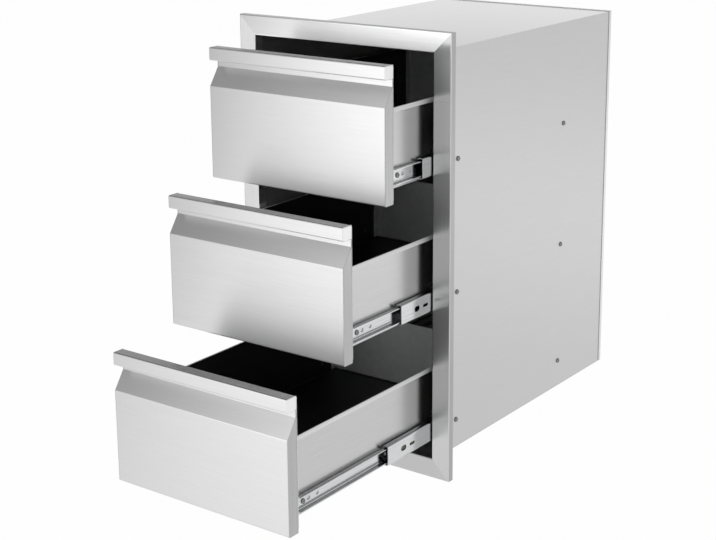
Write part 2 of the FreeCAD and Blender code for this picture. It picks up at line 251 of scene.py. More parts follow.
@dataclass(frozen=True)
class GrainedSteel(PatternedFinish):
    """Stainless steel sheet with fine parallel marks from an abrasive belt or the mill's rolls.

    The marks blur what the sheet mirrors across them and leave it crisp along them. They are
    0.05 mm wide on the real sheet and are drawn coarser, so that they show.
    """

    grain: Axis
    roughness: float
    roughness_spread: float
    anisotropy: float
    mark_width_mm: float = 0.8
    mark_length_mm: float = 70.0
    mark_depth_mm: float = 0.0005
    wave_length_mm: float = 180.0
    wave_depth_mm: float = 0.0

    def lay(self, tree: bpy.types.NodeTree) -> bpy.types.NodeSocket:
        """Lay marks in colour, roughness and relief, and a sheen across the grain.

        Args:
            tree: The material's nodes.

        Returns:
            The shader's output.
        """
        place = add_node(tree, "ShaderNodeTexCoord").outputs["Object"]
        across = 1.0 / (self.mark_width_mm * MM)
        along = 1.0 / (self.mark_length_mm * MM)
        scale = Vector([along if part else across for part in self.grain.value])
        stretched = add_node(tree, "ShaderNodeMapping", {"Vector": place, "Scale": scale}).outputs["Vector"]
        look = {"Vector": stretched, "Scale": 1.0, "Detail": 3.0, "Roughness": 0.6}
        marks = add_node(tree, "ShaderNodeTexNoise", look).outputs["Fac"]
        ends = {"Value": marks, "From Min": NOISE_SPAN[0], "From Max": NOISE_SPAN[1]}
        clear = add_node(tree, "ShaderNodeMapRange", ends).outputs["Result"]
        bump = {"Height": marks, "Distance": self.mark_depth_mm * MM, "Strength": 1.0}
        relief = add_node(tree, "ShaderNodeBump", bump).outputs["Normal"]
        if self.wave_depth_mm > 0:
            look = {"Vector": place, "Scale": 1.0 / (self.wave_length_mm * MM), "Detail": 0.0}
            waves = add_node(tree, "ShaderNodeTexNoise", look).outputs["Fac"]
            bump = {"Height": waves, "Distance": self.wave_depth_mm * MM, "Strength": 1.0, "Normal": relief}
            relief = add_node(tree, "ShaderNodeBump", bump).outputs["Normal"]
        line = {"Vector": Vector(self.grain.value)}
        turned = {"vector_type": "VECTOR", "convert_from": "OBJECT", "convert_to": "WORLD"}
        sheen_line = add_node(tree, "ShaderNodeVectorTransform", line, turned)
        sheen = {
            "Metallic": 1.0,
            "Anisotropic": self.anisotropy,
            "Anisotropic Rotation": 0.25,
            "Tangent": sheen_line.outputs["Vector"],
            "Normal": relief,
        }
        dull = self.roughness + self.roughness_spread
        bright = self.roughness - self.roughness_spread
        return self.dress(tree, clear, (0.0, 1.0), (dull, bright), sheen)


@dataclass(frozen=True)
class SpeckledFinish(PatternedFinish):
    """A surface whose colour, gloss and relief vary in fine specks the same in every direction.

    It serves stamped and plated steel, a sprayed coat and moulded rubber.
    """

    metallic: float
    roughness: float
    roughness_spread: float
    speck_mm: float
    relief_mm: float

    def lay(self, tree: bpy.types.NodeTree) -> bpy.types.NodeSocket:
        """Lay the specks in colour, roughness and relief.

        Args:
            tree: The material's nodes.

        Returns:
            The shader's output.
        """
        place = add_node(tree, "ShaderNodeTexCoord").outputs["Object"]
        look = {"Vector": place, "Scale": 1.0 / (self.speck_mm * MM), "Detail": 2.0}
        specks = add_node(tree, "ShaderNodeTexNoise", look).outputs["Fac"]
        bump = {"Height": specks, "Distance": self.relief_mm * MM, "Strength": 1.0}
        relief = add_node(tree, "ShaderNodeBump", bump).outputs["Normal"]
        bright = self.roughness - self.roughness_spread
        dull = self.roughness + self.roughness_spread
        skin = {"Metallic": self.metallic, "Normal": relief}
        return self.dress(tree, specks, NOISE_SPAN, (bright, dull), skin)


@dataclass(frozen=True)
class CardCloth(Finish):
    """Grey cloth of a studio card, evenly lit, that fades out towards the card's edges."""

    name: str
    grey: str
    core: float = 0.2

    def lay(self, tree: bpy.types.NodeTree) -> bpy.types.NodeSocket:
        """Mix the cloth's glow with clear air by how near the edge is.

        Args:
            tree: The material's nodes.

        Returns:
            The shader's output.
        """
        place = add_node(tree, "ShaderNodeTexCoord").outputs["Object"]
        share = soft_edges(tree, place, 0.0, self.core)
        clear = add_node(tree, "ShaderNodeBsdfTransparent").outputs[0]
        grey = add_node(tree, "ShaderNodeEmission", {"Color": linear(self.grey)}).outputs[0]
        return add_node(tree, "ShaderNodeMixShader", {0: share, 1: clear, 2: grey}).outputs[0]


@dataclass(frozen=True)
class FloorPaper(Finish):
    """Matt paper that shows nearly white behind the unit and keeps a little of its shadow."""

    name: str
    colour: str
    white_share: float

    def lay(self, tree: bpy.types.NodeTree) -> bpy.types.NodeSocket:
        """Mix plain white into the paper for the rays of the camera, of gloss and of glass.

        Args:
            tree: The material's nodes.

        Returns:
            The shader's output.
        """
        path = add_node(tree, "ShaderNodeLightPath").outputs
        seen = path["Is Camera Ray"]
        for kind in ("Is Glossy Ray", "Is Transmission Ray"):
            either = add_node(tree, "ShaderNodeMath", {0: seen, 1: path[kind]}, {"operation": "MAXIMUM"})
            seen = either.outputs[0]
        share = add_node(tree, "ShaderNodeMath", {0: seen, 1: self.white_share}, {"operation": "MULTIPLY"})
        matt = add_node(tree, "ShaderNodeBsdfDiffuse", {"Color": linear(self.colour)}).outputs[0]
        glow = add_node(tree, "ShaderNodeEmission", {"Color": linear("#FFFFFF"), "Strength": 1.0}).outputs[0]
        return add_node(tree, "ShaderNodeMixShader", {0: share.outputs[0], 1: matt, 2: glow}).outputs[0]


# Type 304 sheet brushed along the unit's width: reflections run up and down in soft streaks.
FRONT_STEEL = GrainedSteel("brushed_steel_along_width", "#D0D0D0", "#D6D6D6", Axis.X, 0.30, 0.02, 0.86)
# The top of the handle strip keeps coarser belt marks, and its darker colour is painted shade.
STRIP_TOP_PAINTED_SHADE = GrainedSteel(
    "coarse_belt_steel_edge", "#8C8C8C", "#989898", Axis.X, 0.26, 0.03, 0.5, mark_depth_mm=0.001
)
# The frame's top strip is a lighter copy of the frame's steel, brushed the same way: painted light.
FRAME_TOP_PAINTED_LIGHT = GrainedSteel("brushed_steel_frame_strip", "#EAEAEA", "#F0F0F0", Axis.X, 0.30, 0.02, 0.86)
# The left upright is a lighter copy too, painted light, and hardly changes tone at its upper corner.
LEFT_UPRIGHT_PAINTED_LIGHT = GrainedSteel("brushed_steel_left_upright", "#DADADA", "#E0E0E0", Axis.Z, 0.24, 0.02, 1.0)
# The bottom strip is a darker copy, painted shade, so it stands off from the white floor as the right upright
# does.
BASE_STRIP_PAINTED_SHADE = GrainedSteel("brushed_steel_base_strip", "#B4B4B4", "#BABABA", Axis.X, 0.30, 0.02, 0.86)
# The frame's side returns are a darker copy with the marks of a coarse belt: painted shade that draws a thin
# dark line beside the uprights.
RETURN_PAINTED_SHADE = GrainedSteel(
    "coarse_belt_steel_return", "#A6A6A6", "#B0B0B0", Axis.Z, 0.30, 0.03, 0.5, mark_depth_mm=0.001
)
# The right upright is brushed along its own length, so the mitred upper corner changes tone.
UPRIGHT_STEEL = GrainedSteel("brushed_steel_along_height", "#C6C6C6", "#CCCCCC", Axis.Z, 0.24, 0.02, 1.0)
# Bright cold-rolled sheet of the body: even, soft, with faint roll marks from front to back.
BODY_STEEL = GrainedSteel(
    "cold_rolled_steel_body", "#C0C0C0", "#C5C5C5", Axis.Y, 0.30, 0.01, 0.4, wave_depth_mm=0.05
)
# The top panel is a lighter copy of the body's steel, painted light, and nearly a mirror at this low angle.
TOP_PANEL_PAINTED_LIGHT = GrainedSteel(
    "cold_rolled_steel_top", "#DCDCDC", "#E0E0E0", Axis.Y, 0.13, 0.01, 0.3, mark_depth_mm=0.0003
)
# The back is a lighter copy of the body's steel, so its rim shows a painted highlight as a light line on the
# walls.
BACK_PAINTED_HIGHLIGHT = GrainedSteel(
    "cold_rolled_steel_back", "#D8D8D8", "#DEDEDE", Axis.Z, 0.30, 0.02, 0.4, mark_depth_mm=0.002
)
# The box's sheet is smoother than the body's, so its sides mirror the surroundings more clearly.
BOX_STEEL = GrainedSteel("cold_rolled_steel_box", "#C0C0C0", "#C6C6C6", Axis.Y, 0.25, 0.01, 0.3)
# Roll-formed rails with a bright zinc plating that keeps the marks of the rolls.
RAIL_STEEL = GrainedSteel(
    "zinc_plated_rail", "#C6C7C8", "#D8D9DA", Axis.Y, 0.18, 0.04, 0.3, mark_width_mm=1.2, mark_depth_mm=0.002
)
# The ends of the fronts are brushed by hand along their height; their darker colour is painted shade on the
# side faces.
END_PLATE_PAINTED_SHADE = GrainedSteel(
    "hand_brushed_steel_end", "#ACACAC", "#BABABA", Axis.Z, 0.28, 0.03, 0.5, mark_depth_mm=0.002
)
# The inside of the body keeps the mill's dull skin, which scatters what light comes in.
INSIDE_STEEL = GrainedSteel(
    "dull_mill_steel_inside", "#C8C8C8", "#D0D0D0", Axis.Y, 0.55, 0.03, 0.2, mark_depth_mm=0.002
)
# Ground weld on the ends of the handle strips: the grinding marks have no direction, and the light colour is
# a painted highlight on the strips' end faces.
STRIP_END_PAINTED_LIGHT = SpeckledFinish("ground_steel_weld_painted_light", "#E8E8E8", "#F0F0F0", 1.0, 0.38, 0.03, 1.0, 0.004)
# Galvanised sheet of the pan behind the front and of the box back's inside: dull, with the
# cloudy spangle of the zinc.
LINER_ZINC = SpeckledFinish("galvanised_steel_liner", "#CCCDCE", "#E4E5E6", 0.4, 0.6, 0.06, 9.0, 0.01)
# Stamped stainless screws, tumbled to an even satin; their dark grey is painted shade that stands for the
# dark reflection in the heads.
SCREW_PAINTED_SHADE = SpeckledFinish("tumbled_steel_screw_painted_shade", "#7C7C7C", "#929292", 1.0, 0.32, 0.05, 0.8, 0.004)
# Stamped strip of the ball cages with polished balls, under a film of grease.
CAGE_STEEL = SpeckledFinish("greased_cage_steel", "#55524D", "#6A6761", 1.0, 0.3, 0.08, 2.0, 0.003)
# Painted shade inside the trays, where the steel lies in shade: nearly black, with a fine orange-peel skin.
TRAY_INSIDE_PAINTED_SHADE = SpeckledFinish("tray_inside_painted_shade", "#0B0B0B", "#121212", 0.0, 0.5, 0.05, 2.5, 0.01)
# Rim of the box, rolled over and deburred: a lighter, duller copy of the box's steel, a painted highlight
# along the rounded rim.
HEM_PAINTED_HIGHLIGHT = SpeckledFinish("deburred_steel_hem", "#CCCCCC", "#DADADA", 0.3, 0.5, 0.05, 1.5, 0.003)
# Moulded black rubber of the stops, dull and slightly dusty.
STOP_RUBBER = SpeckledFinish("moulded_black_rubber", "#161616", "#262626", 0.0, 0.75, 0.08, 1.2, 0.02)
# Seamless studio paper, a little off white where light falls on it.
FLOOR_PAPER = FloorPaper("white_paper_floor", "#F6F6F6", 0.85)


# Shared steps of the sheet-metal work


class Edge(Enum):
    """How far the raw edges of a piece are rounded, in millimetres, by how they were made."""

    SHAPED = 0.0
    STAMPED = 0.08
    BRUSHED = 0.1
    ROLLED = 0.12
    SHEARED = 0.15


def round_off(
    bm: bmesh.types.BMesh,
    geom: Sequence[bmesh.types.BMEdge | bmesh.types.BMVert],
    reach: float,
    steps: int,
    affect: str = "EDGES",
) -> None:
    """Round edges, or corners of a drawn path.

    Args:
        bm: The mesh.
        geom: Its edges or points to round.
        reach: How far the rounding reaches from each.
        steps: Number of flat faces around the rounding.
        affect: EDGES or VERTICES.
    """
    bmesh.ops.bevel(bm, geom=geom, offset=reach, segments=steps, affect=affect, profile=0.5, material=-1)


def draw_path(
    bm: bmesh.types.BMesh, points: Sequence[Point], bends: Sequence[float], thickness: float, plane: Plane
) -> list[bmesh.types.BMVert]:
    """Draw an open path as a chain of edges, with its bends rounded.

    Args:
        bm: The mesh to draw in.
        points: The path on the sheet's left face.
        bends: Inside radius at each inner point, or none for sharp corners.
        thickness: Thickness of the sheet, which the outside of a bend adds to its radius.
        plane: The plane of the path.

    Returns:
        The path's points, of which the rounded ones are gone.
    """
    chain = [bm.verts.new(plane.place(*points[0]))]
    for here, there in zip(points, points[1:]):
        grown = bmesh.ops.extrude_vert_indiv(bm, verts=[chain[-1]])["verts"]
        bmesh.ops.translate(bm, verts=grown, vec=plane.place(*there) - plane.place(*here))
        chain.append(grown[0])
    for i, bend in enumerate(bends, start=1):
        before = Vector(points[i]) - Vector(points[i - 1])
        after = Vector(points[i + 1]) - Vector(points[i])
        turns_left = before.x * after.y - before.y * after.x > 0
        radius = bend if turns_left else bend + thickness
        round_off(bm, [chain[i]], radius * math.tan(before.angle(after) / 2), BEND_STEPS, "VERTICES")
    return chain


def points_of(geom: Sequence[object]) -> list[bmesh.types.BMVert]:
    """Pick the points out of what an operator made."""
    return [part for part in geom if isinstance(part, bmesh.types.BMVert)]


def folded_sheet(
    points: Sequence[Point],
    bends: Sequence[float],
    thickness: float,
    plane: Plane,
    start: float,
    length: float,
) -> bmesh.types.BMesh:
    """Fold a sheet along a path and draw it out.

    Args:
        points: The path on the sheet's left face.
        bends: Inside radius at each inner point.
        thickness: Thickness of the sheet, to the right of the path.
        plane: The plane of the path.
        start: Where the sheet starts on the plane's third axis.
        length: How far it is drawn out.

    Returns:
        The closed sheet.
    """
    bm = bmesh.new()
    draw_path(bm, points, bends, thickness, plane)
    bmesh.ops.translate(bm, verts=bm.verts, vec=plane.place(0.0, 0.0, start))
    far = points_of(bmesh.ops.extrude_edge_only(bm, edges=bm.edges[:])["geom"])
    bmesh.ops.translate(bm, verts=far, vec=plane.place(0.0, 0.0, length))
    bmesh.ops.recalc_face_normals(bm, faces=bm.faces)
    first = Vector(points[1]) - Vector(points[0])
    left = plane.place(-first.y, first.x)
    middle = plane.place(*((Vector(points[0]) + Vector(points[1])) / 2), start + length / 2)
    nearest = min(bm.faces, key=lambda face: (face.calc_center_median() - middle).length)
    if nearest.normal.dot(left) < 0:
        bmesh.ops.reverse_faces(bm, faces=bm.faces)
    bmesh.ops.solidify(bm, geom=bm.faces[:], thickness=thickness)
    return bm


def add_block(bm: bmesh.types.BMesh, low: Triple, high: Triple) -> list[bmesh.types.BMVert]:
    """Add a flat plate or block between two corners.

    Args:
        bm: The mesh to add to.
        low: Its lowest corner.
        high: Its highest corner.

    Returns:
        The block's points.
    """
    verts = bmesh.ops.create_cube(bm, size=1.0)["verts"]
    span = Vector(high) - Vector(low)
    bmesh.ops.scale(bm, verts=verts, vec=span)
    bmesh.ops.translate(bm, verts=verts, vec=Vector(low) + span / 2)
    return verts


def pressed_pan(
    low: Triple, high: Triple, open_ways: Sequence[Triple], fold: float, thickness: float
) -> bmesh.types.BMesh:
    """Press a pan with rounded folds out of a sheet.

    Args:
        low: Lowest corner of its outside.
        high: Highest corner of its outside.
        open_ways: The directions in which it has no wall.
        fold: Outside radius of its folds.
        thickness: Thickness of the sheet.

    Returns:
        The closed pan.
    """
    bm = bmesh.new()
    add_block(bm, low, high)
    open_faces = [face for face in bm.faces if any(face.normal.dot(way) > ROUGHLY for way in open_ways)]
    folds = [edge for edge in bm.edges if not any(face in open_faces for face in edge.link_faces)]
    bmesh.ops.delete(bm, geom=open_faces, context="FACES_ONLY")
    round_off(bm, folds, fold, FOLD_STEPS)
    bmesh.ops.solidify(bm, geom=bm.faces[:], thickness=thickness)
    return bm


def turn_to(side: Side, bm: bmesh.types.BMesh) -> None:
    """Mirror a piece of the right side if it is meant for the left.

    Args:
        side: The side that it is meant for.
        bm: The piece.
    """
    if side is Side.LEFT:
        bmesh.ops.scale(bm, verts=bm.verts, vec=(-1.0, 1.0, 1.0))
        bmesh.ops.reverse_faces(bm, faces=bm.faces)


def linked(name: str, data: bpy.types.ID) -> bpy.types.Object:
    """Make an object and put it in the scene.

    Args:
        name: Name of the new object.
        data: Its mesh, lamp or camera.

    Returns:
        The object.
    """
    made = bpy.data.objects.new(name, data)
    bpy.context.scene.collection.objects.link(made)
    return made


def to_object(name: str, bm: bmesh.types.BMesh) -> bpy.types.Object:
    """Put a mesh in the scene in metres and free it.

    Args:
        name: Name of the new object.
        bm: The mesh in millimetres.

    Returns:
        The object.
    """
    mesh = bpy.data.meshes.new(name)
    bmesh.ops.scale(bm, verts=bm.verts, vec=(MM, MM, MM))
    bm.to_mesh(mesh)
    bm.free()
    return linked(name, mesh)


def bake(piece: bpy.types.Object) -> None:
    """Make a piece's modifiers part of its mesh.

    Args:
        piece: The piece, which gets a new mesh.
    """
    shaped = piece.evaluated_get(bpy.context.evaluated_depsgraph_get())
    mesh = bpy.data.meshes.new_from_object(shaped)
    mesh.name = piece.name
    piece.modifiers.clear()
    piece.data = mesh


def cut_away(piece: bpy.types.Object, name: str, cutter: bmesh.types.BMesh, crossed: bool = False) -> None:
    """Cut a shape from a piece.

    Args:
        piece: The piece.
        name: Name of the cutter while it is used.
        cutter: The shape in millimetres.
        crossed: Whether parts of the shape run through each other.
    """
    tool = to_object(name, cutter)
    cut = piece.modifiers.new("cut", "BOOLEAN")
    cut.operation = "DIFFERENCE"
    cut.solver = "EXACT"
    cut.use_self = crossed
    cut.object = tool
    bake(piece)
    bpy.data.objects.remove(tool)


@dataclass
class SubAssembly:
    """Pieces that are made and dressed together."""

    def finish_piece(
        self,
        name: str,
        bm: bmesh.types.BMesh,
        nodes: Sequence[str],
        body: str,
        slot: str,
        finishes: Sequence[Finish],
        edge: Edge = Edge.SHEARED,
        cutters: Sequence[bmesh.types.BMesh] = (),
    ) -> bpy.types.Object:
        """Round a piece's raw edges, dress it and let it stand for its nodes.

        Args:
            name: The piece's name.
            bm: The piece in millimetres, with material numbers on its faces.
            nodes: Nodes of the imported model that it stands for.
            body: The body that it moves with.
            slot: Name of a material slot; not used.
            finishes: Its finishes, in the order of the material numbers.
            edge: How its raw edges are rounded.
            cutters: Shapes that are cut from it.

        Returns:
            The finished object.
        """
        piece = to_object(name, bm)
        for i, cutter in enumerate(cutters):
            cut_away(piece, f"{name}_cutter_{i}", cutter)
        if edge is not Edge.SHAPED:
            rounding = piece.modifiers.new("edge", "BEVEL")
            rounding.width = edge.value * MM
            rounding.segments = 2
            rounding.limit_method = "ANGLE"
            rounding.angle_limit = math.radians(50.0)
        piece.data.shade_smooth()
        flat_faces = piece.modifiers.new("flat_faces", "WEIGHTED_NORMAL")
        flat_faces.keep_sharp = True
        bake(piece)
        for finish in finishes:
            piece.data.materials.append(finish.material())
        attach(piece, body)
        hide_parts(*nodes)
        log.info("%s: %d faces, for %s", name, len(piece.data.polygons), ", ".join(nodes))
        return piece


# Cabinet


@dataclass
class FaceFrame(SubAssembly):
    """Mitred frame that covers the edge of the cut-out in the island."""

    width: float = 356.0
    height: float = 620.0
    bottom: float = -26.0
    flange: float = 28.0
    depth: float = 10.0
    sheet: float = 1.2
    back_lip: float = 9.0
    collar: float = 15.2
    front_radius: float = 1.6

    def border(self, bm: bmesh.types.BMesh, outer: bool) -> list[bmesh.types.BMEdge]:
        """Find the open edges on one of the frame's two lines.

        Args:
            bm: The frame.
            outer: Whether the outer line is meant, or else the one around the drawers.

        Returns:
            The edges.
        """
        reach = self.width / 2 - self.flange / 2
        rise = self.height / 2 - self.flange / 2
        return [
            edge
            for edge in bm.edges
            if len(edge.link_faces) == 1
            and outer == any(abs(vert.co.x) > reach or abs(vert.co.z) > rise for vert in edge.verts)
        ]

    def strip_number(self, face: bmesh.types.BMFace) -> int:
        """Tell which strip of the frame a face is on.

        Args:
            face: A face of the frame, which is centred on the origin.

        Returns:
            0 for the top strip, 1 for the bottom one, 2 for the right upright, 3 for the left one
            and 4 for a side return.
        """
        centre = face.calc_center_median()
        if abs(face.normal.x) > SQUARELY and abs(centre.x) > self.width / 2 - self.sheet / 2:
            return 4
        if self.width / 2 - abs(centre.x) < self.height / 2 - abs(centre.z):
            return 2 if centre.x > 0 else 3
        return 0 if centre.z > 0 else 1

    def build(self) -> None:
        """Inset a plate to four mitred strips, fold them back and give them their thickness."""
        bm = bmesh.new()
        bmesh.ops.create_grid(bm, x_segments=1, y_segments=1, size=0.5)
        bmesh.ops.rotate(bm, verts=bm.verts, matrix=Matrix.Rotation(math.radians(90.0), 3, "X"))
        bmesh.ops.scale(bm, verts=bm.verts, vec=(self.width, 1.0, self.height))
        plate = bm.faces[:]
        bmesh.ops.inset_region(
            bm, faces=plate, thickness=self.flange, use_boundary=True, use_even_offset=True
        )
        bmesh.ops.delete(bm, geom=plate, context="FACES_ONLY")
        for outer, back in ((True, self.depth), (False, self.collar)):
            drawn = bmesh.ops.extrude_edge_only(bm, edges=self.border(bm, outer))["geom"]
            verts = points_of(drawn)
            bmesh.ops.translate(bm, verts=verts, vec=(0.0, back, 0.0))
            if outer:
                rim = [part for part in drawn if isinstance(part, bmesh.types.BMEdge)]
                rim = [edge for edge in rim if all(v in verts for v in edge.verts)]
                verts = points_of(bmesh.ops.extrude_edge_only(bm, edges=rim)["geom"])
                shrink = [(size - 2 * self.back_lip) / size for size in (self.width, self.height)]
                bmesh.ops.scale(bm, verts=verts, vec=(shrink[0], 1.0, shrink[1]))
        bmesh.ops.recalc_face_normals(bm, faces=bm.faces)
        face = next(f for f in bm.faces if all(abs(v.co.y) < SAME_PLANE for v in f.verts))
        if face.normal.y > 0:
            bmesh.ops.reverse_faces(bm, faces=bm.faces)
        front = [edge for edge in bm.edges if all(abs(v.co.y) < SAME_PLANE for v in edge.verts)]
        front = [edge for edge in front if abs(edge.calc_face_angle(0.0)) > SHARP]
        round_off(bm, front, self.front_radius, RIM_STEPS)
        bmesh.ops.solidify(bm, geom=bm.faces[:], thickness=self.sheet)
        for made in bm.faces:
            made.material_index = self.strip_number(made)
        place = (0.0, -self.depth, self.bottom + self.height / 2)
        bmesh.ops.translate(bm, verts=bm.verts, vec=place)
        # The top strip and the left upright get painted light, the bottom strip and the side returns painted
        # shade.
        finishes = [FRAME_TOP_PAINTED_LIGHT, BASE_STRIP_PAINTED_SHADE, UPRIGHT_STEEL, LEFT_UPRIGHT_PAINTED_LIGHT, RETURN_PAINTED_SHADE]
        self.finish_piece("mitred_face_frame", bm, ["face_frame"], "cabinet", "brushed_frame", finishes)


@dataclass
class CabinetBody(SubAssembly):
    """Body of the unit: two folded walls, top and bottom panels and a folded back."""

    width: float = 304.0
    height: float = 568.0
    depth: float = 480.0
    sheet: float = 0.8
    front: float = -8.8
    rear_flange: float = 12.0
    side_flange_front: float = 5.2
    bend: float = 1.0
    back_wrap: float = 6.0
    back_fold: float = 0.8

    def finish_panel(self, name: str, bm: bmesh.types.BMesh, node: str, outside: Finish) -> None:
        """Finish a panel, with the dull finish on the faces that point into the body.

        Args:
            name: The panel's name.
            bm: The panel in millimetres.
            node: The node that it stands for.
            outside: The finish of its other faces.
        """
        middle = Vector((0.0, self.depth / 2, self.height / 2))
        for face in bm.faces:
            inwards = middle - face.calc_center_median()
            face.material_index = 1 if face.normal.dot(inwards) > 0 else 0
        self.finish_piece(name, bm, [node], "cabinet", "mill_body", [outside, INSIDE_STEEL])

    def level_panel(self, is_top: bool) -> None:
        """Make the top or the bottom, a plate with flanges folded in between the walls.

        Args:
            is_top: Whether it is the top.
        """
        inner = self.width / 2 - self.sheet
        back = self.depth - self.sheet
        inwards = -1.0 if is_top else 1.0
        outside = self.height if is_top else 0.0
        inside = outside + inwards * self.sheet
        bm = bmesh.new()
        plate_back = back if is_top else self.depth
        low, high = sorted((outside, inside))
        add_block(bm, (-self.width / 2, self.front, low), (self.width / 2, plate_back, high))
        low, high = sorted((inside, inside + inwards * self.rear_flange))
        flange_back = back - self.sheet - self.bend
        for side in Side:
            across = sorted((side.value * (inner - self.sheet), side.value * inner))
            add_block(bm, (across[0], self.side_flange_front, low), (across[1], flange_back, high))
        if is_top:
            half = inner - self.rear_flange
            add_block(bm, (-half, back - self.sheet, low), (half, back, high))
        label = "top" if is_top else "bottom"
        # The top gets painted light, the bottom the plain body steel.
        self.finish_panel(f"{label}_flanged_panel", bm, f"{label}_panel", TOP_PANEL_PAINTED_LIGHT if is_top else BODY_STEEL)

    def back_panel(self) -> None:
        """Fold the back: its rim covers the walls and the top, and a flange stands on the bottom."""
        half = self.width / 2 + self.sheet
        front = self.depth - self.sheet - self.back_wrap
        low = (-half, front, self.sheet)
        high = (half, self.depth, self.height + self.sheet)
        open_ways = ((0.0, -1.0, 0.0), (0.0, 0.0, -1.0))
        bm = pressed_pan(low, high, open_ways, self.back_fold, self.sheet)
        reach = self.width / 2 - self.sheet - self.rear_flange
        inner_back = self.depth - self.sheet
        flange_front = inner_back - self.rear_flange
        add_block(bm, (-reach, flange_front, self.sheet), (reach, inner_back, 2 * self.sheet))
        # The back's outside carries a painted highlight along its rim.
        self.finish_panel("folded_back", bm, "back_panel", BACK_PAINTED_HIGHLIGHT)

    def build(self) -> None:
        """Fold both walls and the back and make the level panels."""
        half = self.width / 2
        back = self.depth - self.sheet
        path = [(half - self.rear_flange, back), (half, back), (half, self.front)]
        for side in Side:
            rise = self.height - 2 * self.sheet
            wall = folded_sheet(path, [self.bend], self.sheet, Plane.XY, self.sheet, rise)
            turn_to(side, wall)
            self.finish_panel(f"{side.label}_folded_wall", wall, f"{side.label}_side_panel", BODY_STEEL)
        self.level_panel(True)
        self.level_panel(False)
        self.back_panel()


@dataclass
class Screws(SubAssembly):
    """Pan-head screws with a cross recess, cut once and set in every place."""

    radius: float = 2.0
    head_radius: float = 3.6
    head_height: float = 1.8
    head_rounding: float = 1.3
    recess_width: float = 0.9
    recess_depth: float = 1.1
    recess_share: float = 0.58
    recess_taper: float = 0.55
    above_head: float = 1.0
    turn_apart: float = 0.7

    def one(self, shank: float) -> bpy.types.Mesh:
        """Turn one screw that points along +X, with the underside of its head at the origin.

        Args:
            shank: Length of the shank.

        Returns:
            The screw's mesh in metres.
        """
        bm = bmesh.new()
        profile = [
            (-shank, 0.0),
            (-shank, self.radius),
            (0.0, self.radius),
            (0.0, self.head_radius),
            (self.head_height, self.head_radius),
            (self.head_height, 0.0),
        ]
        chain = draw_path(bm, profile, [], 0.0, Plane.XZ)
        round_off(bm, [chain[-2]], self.head_rounding, RIM_STEPS, "VERTICES")
        bmesh.ops.spin(
            bm,
            geom=bm.verts[:] + bm.edges[:],
            axis=Axis.X.value,
            cent=(0.0, 0.0, 0.0),
            angle=math.tau,
            steps=CIRCLE_STEPS,
            use_merge=True,
        )
        bmesh.ops.remove_doubles(bm, verts=bm.verts, dist=0.001)
        bmesh.ops.recalc_face_normals(bm, faces=bm.faces)
        screw = to_object("screw_blank", bm)
        cross = bmesh.new()
        reach = self.head_radius * self.recess_share
        half = self.recess_width / 2
        for long_axis in (1, 2):
            low = [self.head_height - self.recess_depth, -half, -half]
            high = [self.head_height + self.above_head, half, half]
            low[long_axis] = -reach
            high[long_axis] = reach
            bar = add_block(cross, tuple(low), tuple(high))
            foot = [vert for vert in bar if vert.co.x < self.head_height]
            bmesh.ops.scale(cross, verts=foot, vec=(1.0, self.recess_taper, self.recess_taper))
        cut_away(screw, "screw_cross", cross, crossed=True)
        mesh = screw.data
        bpy.data.objects.remove(screw)
        return mesh

    def set_all(self, name: str, node: str, body: str, shank: float, places: Sequence[Aimed]) -> None:
        """Set a screw at each place.

        Args:
            name: Name of the piece.
            node: The node that the screws stand for.
            body: The body that they move with.
            shank: Length of the shanks.
            places: For each screw the centre of its head's underside and the way that it points.
        """
        screw = self.one(shank)
        bm = bmesh.new()
        for turn, (place, direction) in enumerate(places):
            before = len(bm.verts)
            bm.from_mesh(screw)
            bm.verts.ensure_lookup_table()
            new = bm.verts[before:]
            bmesh.ops.scale(bm, verts=new, vec=(1 / MM, 1 / MM, 1 / MM))
            spin = Matrix.Rotation(self.turn_apart * turn, 3, "X")
            aim = Vector(direction).to_track_quat("X", "Z").to_matrix()
            bmesh.ops.rotate(bm, verts=new, matrix=aim @ spin)
            bmesh.ops.translate(bm, verts=new, vec=place)
        # The screw heads get painted shade.
        self.finish_piece(name, bm, [node], body, "screw_steel", [SCREW_PAINTED_SHADE], edge=Edge.STAMPED)


# Slides and drawers


@dataclass(frozen=True)
class DrawerPlace:
    """Where one drawer is: its lower edge, how far it is pulled out and where its slides are."""

    name: str
    lower_edge: float
    pulled_out: float
    middle_rail_shut: float
    frame_front: float = -10.0
    box_front_shut: float = 13.0

    @property
    def body(self) -> str:
        """Give the body that the drawer's pieces move with."""
        return f"{self.name}_drawer"

    @property
    def front(self) -> float:
        """Give the plane of the drawer's front."""
        return self.frame_front - self.pulled_out

    @property
    def box_front(self) -> float:
        """Give the front end of the drawer's box."""
        return self.box_front_shut - self.pulled_out

    @property
    def middle_rail_front(self) -> float:
        """Give the front end of the middle rails, which travel half as far as the drawer."""
        return self.middle_rail_shut - self.pulled_out / 2


